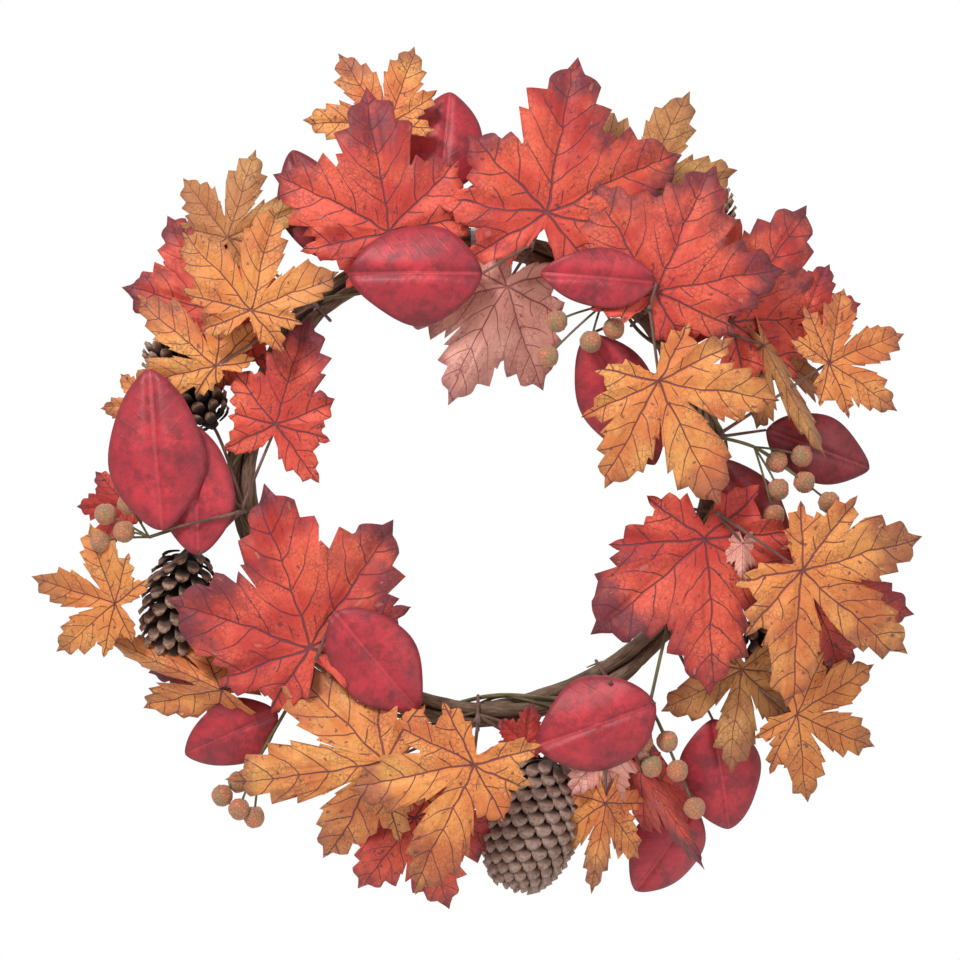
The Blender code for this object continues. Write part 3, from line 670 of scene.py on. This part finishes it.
def magnolia_finish(name, bright, mid, dark, gloss):
    """Mottled print: three scales of patches, streaks along the side veins, a dark edge and a pale midrib."""
    finish, tree, shader, where = new_finish("magnolia_" + name, gloss, sheen=0.15)
    split = add_node(tree, "ShaderNodeSeparateXYZ", {0: lay_uv(tree)})
    along, across = split.outputs["X"], maths(tree, "ABSOLUTE", split.outputs["Y"])
    rim, under = field(tree, "rim"), field(tree, "under")
    patch, fine = noise(tree, where, 24, 5, 0.65), noise(tree, where, 130, 5, 0.7)
    colour = blend_colour(tree, spread(tree, patch, 0.38, 0.66), mid, bright)
    colour = blend_colour(tree, spread(tree, fine, 0.42, 0.7, 0, 0.55), colour, dark)
    slant = maths(tree, "DIVIDE", maths(tree, "SUBTRACT", along, maths(tree, "MULTIPLY", across, 0.8)), 0.11)
    slant = maths(tree, "ADD", slant, maths(tree, "MULTIPLY", patch, 1.2))
    gap = maths(tree, "ABSOLUTE", maths(tree, "SUBTRACT", maths(tree, "FRACT", slant), 0.5))
    side = spread(tree, gap, 0.02, 0.12, 1, 0)
    blotch = noise(tree, where, 62, 6, 0.72)
    colour = blend_colour(tree, spread(tree, blotch, 0.47, 0.62, 0, 0.6), colour, dark)
    colour = blend_colour(tree, maths(tree, "MULTIPLY", side, 0.1), colour, bright)
    edged = maths(tree, "ADD", maths(tree, "MULTIPLY", rim, 0.7), maths(tree, "MULTIPLY", patch, 0.5))
    colour = blend_colour(tree, spread(tree, edged, 0.78, 1.05, 0, 0.7), colour, dark)
    midrib = spread(tree, across, 0.006, 0.015, 1, 0)
    paler = tuple(min(1, 1.1 * c + 0.04) for c in bright)
    colour = blend_colour(tree, maths(tree, "MULTIPLY", midrib, 0.28), colour, paler)
    colour = blend_colour(tree, maths(tree, "MULTIPLY", under, 0.7), colour, (0.30, 0.10, 0.09))
    tree.links.new(colour, shader.inputs["Base Color"])
    weave = noise(tree, where, 900, 2, 0.5)
    height = maths(tree, "SUBTRACT", maths(tree, "MULTIPLY", weave, 0.2), maths(tree, "MULTIPLY", side, 0.12))
    relief(tree, shader, maths(tree, "SUBTRACT", height, maths(tree, "MULTIPLY", midrib, 0.6)), 0.6 * MM)
    return finish


MAGNOLIA_FINISHES = {
    "crimson": magnolia_finish(
        "crimson", bright=(0.62, 0.034, 0.050), mid=(0.40, 0.020, 0.036), dark=(0.15, 0.014, 0.024),
        gloss=0.5,
    ),
    "burgundy": magnolia_finish(
        "burgundy", bright=(0.42, 0.030, 0.040), mid=(0.26, 0.018, 0.028), dark=(0.095, 0.011, 0.017),
        gloss=0.48,
    ),
}
for leaf_name, (finish_name, x, z, heading, length, width, layer, _) in MAGNOLIAS.items():
    magnolia_leaf(leaf_name, finish_name, x, z, heading, length, width, layer)

# Wire picks: paper-taped florist's wire. A collar is bound round the vine, a post comes to the front, and
# a stalk leaves the post for each leaf and cone, curving out to meet it.
PICKS = {
    "pick_east": 10, "pick_northeast": 45, "pick_north": 77, "pick_north_northwest": 112,
    "pick_northwest": 133, "pick_west": 188, "pick_southwest": 228, "pick_south": 270,
    "pick_south_southeast": 303, "pick_southeast": 322, "pick_east_southeast": 352,
}
STALK_RADIUS = 1.15 * MM
STALK_BEHIND = 1.9 * MM
COLLAR_RADIUS = 12.2 * MM
COLLAR_WIRE = 1.2 * MM
POST_RADIUS = 1.7 * MM
POST_FOOT = 11.5 * MM
LOWEST_STALK = 12 * MM
VINE_FRONT = 10.7 * MM
# Pine cone: its middle x, depth in front of the vine's front, z, its tip's heading, length, width and pick.
CONES = {
    "pine_cone_bottom": (41, 10.3, -229, 254, 80, 72, "pick_south"),
    "pine_cone_lower_left": (-208, 4.3, -81, 260, 72, 57, "pick_west"),
    "pine_cone_left": (-200, 8.3, 61, 122, 66, 52, "pick_west"),
    "pine_cone_right": (211, 0.3, -121, 320, 66, 52, "pick_southeast"),
    "tucked_cone_top": (156, 3.3, 168, 75, 58, 46, "pick_northeast"),
}


def round_ring(degrees, depth):
    """The point in front of the vine's middle, at a place round the ring."""
    turn = math.radians(degrees)
    return RING_CENTRE + np.array([RING_RADIUS * math.cos(turn), -depth, RING_RADIUS * math.sin(turn)])


def bent(start, corner, end, count=16):
    """A smooth run from start to end that leaves along the line to the corner."""
    s = np.linspace(0, 1, count)[:, None]
    return (1 - s) ** 2 * start + 2 * s * (1 - s) * corner + s**2 * end


taped_wire = bark_finish("taped_wire", (0.13, 0.06, 0.045), (0.36, 0.20, 0.155))
for pick_name, degrees in PICKS.items():
    turn = np.linspace(0, 2 * np.pi, 28, endpoint=False)
    outward = np.array([math.cos(math.radians(degrees)), 0, math.sin(math.radians(degrees))])
    hoop = np.cos(turn)[:, None] * outward + np.sin(turn)[:, None] * np.array([0, 1, 0])
    collar = round_ring(degrees, 0) + COLLAR_RADIUS * hoop
    wires = [tube(collar, COLLAR_WIRE, 8, closed=True)]
    tops = []
    for _, x, z, heading, _, _, layer, pick in [*MAPLES.values(), *MAGNOLIAS.values()]:
        if pick != pick_name:
            continue
        depth = FIRST_LAYER + layer * LAYER_PITCH - STALK_BEHIND - lie_back(math.hypot(x, z) * MM)
        end = RING_CENTRE + np.array([x * MM, -depth, z * MM])
        low = max(depth - 9 * MM, LOWEST_STALK)
        stalk = bent(round_ring(degrees, low), round_ring(degrees, depth), end)
        wires.append(tube(stalk, STALK_RADIUS * np.linspace(1.25, 0.8, len(stalk)), 8))
        tops.append(depth)
    for x, depth, z, heading, length, _, pick in CONES.values():
        if pick == pick_name:
            depth += VINE_FRONT / MM
            tip_turn = math.radians(heading)
            back = 0.46 * length * np.array([math.cos(tip_turn), 0, math.sin(tip_turn)])
            base = RING_CENTRE + MM * (np.array([x, -depth, z]) - back)
            stalk = bent(round_ring(degrees, LOWEST_STALK), base - 0.4 * MM * back, base)
            wires.append(tube(stalk, STALK_RADIUS, 8))
    post = np.linspace(round_ring(degrees, POST_FOOT), round_ring(degrees, max(tops)), 8)
    wires.append(tube(post, POST_RADIUS, 8))
    points, faces, uv = joined(wires)
    mesh_piece("wires_" + pick_name, points, faces, taped_wire, [pick_name], uv=uv)

# Pine cones: natural cones, opened. A woody core carries scales in the usual golden-angle spiral, and
# each scale is a thin paddle that thickens to a paler, blunt tip.
SCALES_OPENED, SCALES_SHUT = 96, 196
GOLDEN = math.pi * (3 - math.sqrt(5))
SCALE_ROWS, SCALE_COLUMNS = 6, 5


def cone_finish(name, deep, middle, worn_tip):
    """Dark wood down in the cone, turning paler and worn at each scale's tip."""
    finish, tree, shader, where = new_finish(name, 0.78)
    tip = field(tree, "tip")
    grain, patch = noise(tree, where, 380, 5, 0.7), noise(tree, where, 70, 3)
    colour = blend_colour(tree, spread(tree, tip, 0.45, 0.9), deep, middle)
    worn = maths(tree, "MULTIPLY", spread(tree, tip, 0.78, 0.98), spread(tree, grain, 0.36, 0.56))
    colour = blend_colour(tree, maths(tree, "MULTIPLY", worn, 0.85), colour, worn_tip)
    colour = blend_colour(tree, spread(tree, patch, 0.52, 0.78, 0, 0.5), colour, deep)
    tree.links.new(colour, shader.inputs["Base Color"])
    relief(tree, shader, grain, 0.8 * MM)
    return finish


CONE_FINISHES = {
    "shut": cone_finish("pine_cone_brown", (0.085, 0.046, 0.036), (0.26, 0.145, 0.115), (0.46, 0.32, 0.26)),
    "opened": cone_finish("pine_cone_dark", (0.026, 0.014, 0.010), (0.14, 0.072, 0.048), (0.52, 0.32, 0.225)),
}


def scale_faces():
    """One scale's quads: its underside, its upper side, and the walls that join their borders."""
    size = SCALE_ROWS * SCALE_COLUMNS
    under = np.array(grid_faces(SCALE_ROWS, SCALE_COLUMNS))
    index = np.arange(size).reshape(SCALE_ROWS, SCALE_COLUMNS)
    border = np.concatenate([index[0, :-1], index[:-1, -1], index[-1, :0:-1], index[:0:-1, 0]])
    walls = np.stack([border, np.roll(border, -1), np.roll(border, -1) + size, border + size], -1)
    return np.concatenate([under[:, ::-1], under + size, walls])


def cone_scales(count, length, width, half_width, thickening):
    """Scale n stands at a height along the core and at n golden angles round it; each is a curved paddle
    whose width swells along it, and its thickness grows to the tip. The last axis is x, y and along."""
    n = np.arange(count)[:, None, None]
    level = (n + 0.5) / count
    envelope = width / 2 * np.sin(np.pi * (0.17 + 0.72 * level)) ** 0.75
    height = length * (level**0.92 - 0.5) * 0.9
    opening = np.radians(12 + 52 * level**1.4)
    core = 0.34 * envelope
    s = np.linspace(0, 1, SCALE_ROWS)[None, :, None]
    w = np.linspace(-1, 1, SCALE_COLUMNS)[None, None, :]
    reach = (envelope - core) / np.cos(opening)
    half = half_width * width * np.sin(np.pi * (0.25 + 0.6 * level)) * (0.35 + 0.8 * s - 0.38 * s**5)
    bow = -0.32 * half * w**2 + 0.054 * s**3 * width
    thick = (0.018 + thickening * s**4) * width * (1 - 0.65 * w**2)
    along = s * reach * (1 - 0.10 * w**2 * s**3)
    aside = half * w
    turn = n * GOLDEN
    sides = []
    for sign in (1, -1):
        rise = bow + sign * thick / 2
        out = core + along * np.cos(opening) - rise * np.sin(opening)
        up = height + along * np.sin(opening) + rise * np.cos(opening)
        across, depth = out * np.cos(turn) - aside * np.sin(turn), out * np.sin(turn) + aside * np.cos(turn)
        sides.append(np.stack([across, depth, up], -1))
    return np.stack(sides, 1).reshape(-1, 3)


def pine_cone(name, x, depth, z, heading, length, width):
    """Scales round a thin core, turned so that the cone's tip points along the heading."""
    shut = name == "pine_cone_bottom"
    count, half_width, thickening = (SCALES_SHUT, 0.104, 0.05) if shut else (SCALES_OPENED, 0.112, 0.036)
    points = cone_scales(count, length, width, half_width, thickening)
    size = 2 * SCALE_ROWS * SCALE_COLUMNS
    faces = (scale_faces()[None] + (np.arange(count) * size)[:, None, None]).reshape(-1, 4).tolist()
    tip = np.tile(np.repeat(np.linspace(0, 1, SCALE_ROWS), SCALE_COLUMNS), 2 * count)
    core_levels = np.linspace(-0.46, 0.44, 12)
    core_radius = 0.19 * width * np.sqrt(np.clip(1 - (core_levels / 0.47) ** 2, 0.02, 1))
    core_path = core_levels[:, None] * np.array([0, 0, length])
    core_points, core_faces, _ = tube(core_path, core_radius, 10, first=len(points))
    points = np.concatenate([points, core_points])
    tip = np.concatenate([tip, np.zeros(len(core_points))])
    turn = math.radians(heading)
    axis = np.array([math.cos(turn), 0, math.sin(turn)])
    side = np.array([0, 1.0, 0])
    third = np.cross(axis, side)
    middle = np.array([x, -depth, z])
    points = MM * (points[:, :1] * side + points[:, 1:2] * third + points[:, 2:] * axis + middle)
    points += RING_CENTRE - np.array([0, VINE_FRONT, 0])
    node = [name] if name in frame["nodes"] else []
    finish = CONE_FINISHES["shut" if shut else "opened"]
    mesh_piece("scales_" + name, points, faces + core_faces, finish, node, fields={"tip": tip})


for cone_name, (x, depth, z, heading, length, width, _) in CONES.items():
    pine_cone(cone_name, x, depth, z, heading, length, width)

# Berry sprays: foam berries flocked orange-brown in an olive net, each on its own thin wire from a fork.
BERRY_RADIUS = 7.4 * MM
# Spray: its pick, the layer of its wires, where they fork, and each berry's x, layer and z.
SPRAYS = {
    "berry_spray_inner_right": (
        "pick_northeast", 5.5, (84, 118),
        [(54, 5.5, 108), (77, 5.7, 94), (93, 5.5, 103), (48, 5.5, 84)],
    ),
    "berry_spray_right": (
        "pick_east", 4.1, (190, 22),
        [(206, 3.6, 12), (223, 3.8, 16), (225, 3.5, -2), (207, 3.6, -7), (204, 3.5, -25), (242, 3.5, -16)],
    ),
    "berry_spray_lower_right": (
        "pick_southeast", 4.3, (118, -155),
        [(113, 4.6, -181), (130, 4.6, -180), (119, 4.9, -197), (137, 4.6, -200), (149, 4.3, -226)],
    ),
    "berry_spray_left": (
        "pick_west", 4.3, (-226, -40),
        [(-240, 4.6, -17), (-256, 4.4, -24), (-243, 4.6, -36), (-260, 3.4, -43)],
    ),
    "tucked_spray_lower_left": (
        "pick_southwest", 1.7, (-150, -190),
        [(-177, 2.3, -219), (-165, 2.9, -228), (-155, 2.3, -234), (-166, 1.7, -210)],
    ),
}


def berry_finish():
    """Flocked orange and brown under an olive net, with pale fluff."""
    finish, tree, shader, where = new_finish("berry", 0.6, sheen=0.3)
    patch, fine = noise(tree, where, 110, 3), noise(tree, where, 900, 3)
    colour = blend_colour(tree, spread(tree, patch, 0.4, 0.62), (0.72, 0.20, 0.085), (0.50, 0.21, 0.10))
    net = spread(tree, cell_edges(tree, where, 420.0), 0.12, 0.03)
    colour = blend_colour(tree, maths(tree, "MULTIPLY", net, 0.6), colour, (0.27, 0.19, 0.09))
    greener = spread(tree, noise(tree, where, 75, 2), 0.5, 0.7, 0, 0.6)
    colour = blend_colour(tree, greener, colour, (0.26, 0.24, 0.10))
    colour = blend_colour(tree, spread(tree, fine, 0.58, 0.75, 0, 0.4), colour, (0.62, 0.46, 0.28))
    tree.links.new(colour, shader.inputs["Base Color"])
    height = maths(tree, "ADD", maths(tree, "MULTIPLY", net, 0.7), maths(tree, "MULTIPLY", fine, 0.4))
    relief(tree, shader, height, 0.6 * MM)
    return finish


def berry(middle, dice):
    """A ball of rings from pole to pole, dimpled, a little long, with small puckered ends."""
    rows, columns = 15, 20
    down = np.linspace(0.08, np.pi - 0.08, rows)[:, None]
    turn = np.linspace(0, 2 * np.pi, columns, endpoint=False)[None, :]
    swell = 1 + 0.035 * np.sin(5 * turn + 3 * down) * np.sin(down)
    swell = swell + 0.02 * dice.standard_normal((rows, columns))
    swell = swell * (1 - 0.12 * np.exp(-((down / 0.3) ** 2)))
    flat = swell * np.sin(down)
    ball = np.stack([flat * np.cos(turn), flat * np.sin(turn), swell * np.cos(down) * 1.04], -1)
    points = middle + BERRY_RADIUS * ball.reshape(-1, 3)
    faces = grid_faces(rows, columns, wrap_columns=True)
    last = (rows - 1) * columns
    faces += [list(range(columns - 1, -1, -1)), list(range(last, last + columns))]
    return points, [face[::-1] for face in faces], np.zeros((rows * columns, 2))


BERRY_FINISH = berry_finish()
green_wire = bark_finish("green_wire", (0.10, 0.085, 0.035), (0.30, 0.26, 0.12))
for spray_name, (pick_name, layer, (fork_x, fork_z), places) in SPRAYS.items():
    dice = np.random.default_rng(len(spray_name))
    fork = in_layer(fork_x, layer, fork_z)
    start = round_ring(PICKS[pick_name], FIRST_LAYER + layer * LAYER_PITCH)
    middles = [in_layer(*place) for place in places]
    sag = np.array([0, -4 * MM, 2 * MM])
    stems = [tube(bent(start, (start + fork) / 2 + sag, fork), 1.2 * MM, 8)]
    stems += [tube(bent(fork, fork * 0.4 + middle * 0.6 + sag, middle), 0.8 * MM, 8) for middle in middles]
    node = [spray_name] if spray_name in frame["nodes"] else []
    points, faces, _ = joined([berry(middle, dice) for middle in middles])
    mesh_piece("berries_" + spray_name, points, faces, BERRY_FINISH, node)
    points, faces, uv = joined(stems)
    mesh_piece("stems_" + spray_name, points, faces, green_wire, uv=uv)

# Hanger: a zinc-coated strap clip closed round the vine, and a loop of round steel wire that turns in its
# eye. The clip keeps its CAD shape, and the loop is made round.
LOOP_WIRE = 1.2 * MM
LOOP_HALF_WIDTH = 9 * MM
LOOP_LEG = 22 * MM
LOOP_CORNER = 2.5 * MM


def steel_finish():
    """Bright zinc with dull clouds, its polish drawn out along X."""
    finish, tree, shader, where = new_finish("zinc_steel", 0.35, metallic=1.0)
    drawn = add_node(tree, "ShaderNodeMapping", {"Vector": where, "Scale": (90, 900, 900)}).outputs["Vector"]
    brushed, dull = noise(tree, drawn, 1.0, 4), noise(tree, where, 160, 4)
    colour = blend_colour(tree, spread(tree, dull, 0.4, 0.7), (0.56, 0.56, 0.57), (0.36, 0.36, 0.37))
    tree.links.new(colour, shader.inputs["Base Color"])
    tree.links.new(spread(tree, brushed, 0.3, 0.7, 0.28, 0.5), shader.inputs["Roughness"])
    relief(tree, shader, brushed, 0.1 * MM)
    return finish


STEEL = steel_finish()
clip = frame["nodes"]["hanger_clip"]
clip.data.materials.clear()
clip.data.materials.append(STEEL)
pivot = np.array(frame["joints"][0]["pos_m"])
straight, corner_turn = LOOP_HALF_WIDTH - LOOP_CORNER, np.linspace(0, np.pi / 2, 6)
right_corner = np.stack(
    [straight + LOOP_CORNER * np.sin(corner_turn), LOOP_CORNER * (1 - np.cos(corner_turn))], -1
)
left_corner = right_corner[::-1] * np.array([-1, 1])
bow_turn = np.linspace(0, np.pi, 21)
bow = np.stack([LOOP_HALF_WIDTH * np.cos(bow_turn), LOOP_LEG + LOOP_HALF_WIDTH * np.sin(bow_turn)], -1)
out_along = np.linspace((0, 0), (straight, 0), 5)[:-1]
back_along = np.linspace((-straight, 0), (0, 0), 5)[1:-1]
outline = np.concatenate([out_along, right_corner, bow, left_corner, back_along])
loop_path = pivot + outline @ np.array([[1, 0, 0], [0, 0, 1]])
loop_points, loop_faces, _ = tube(loop_path, LOOP_WIRE, 14, closed=True)
mesh_piece("loop_wire", loop_points, loop_faces, STEEL, ["hanger_loop"], body="hanger")
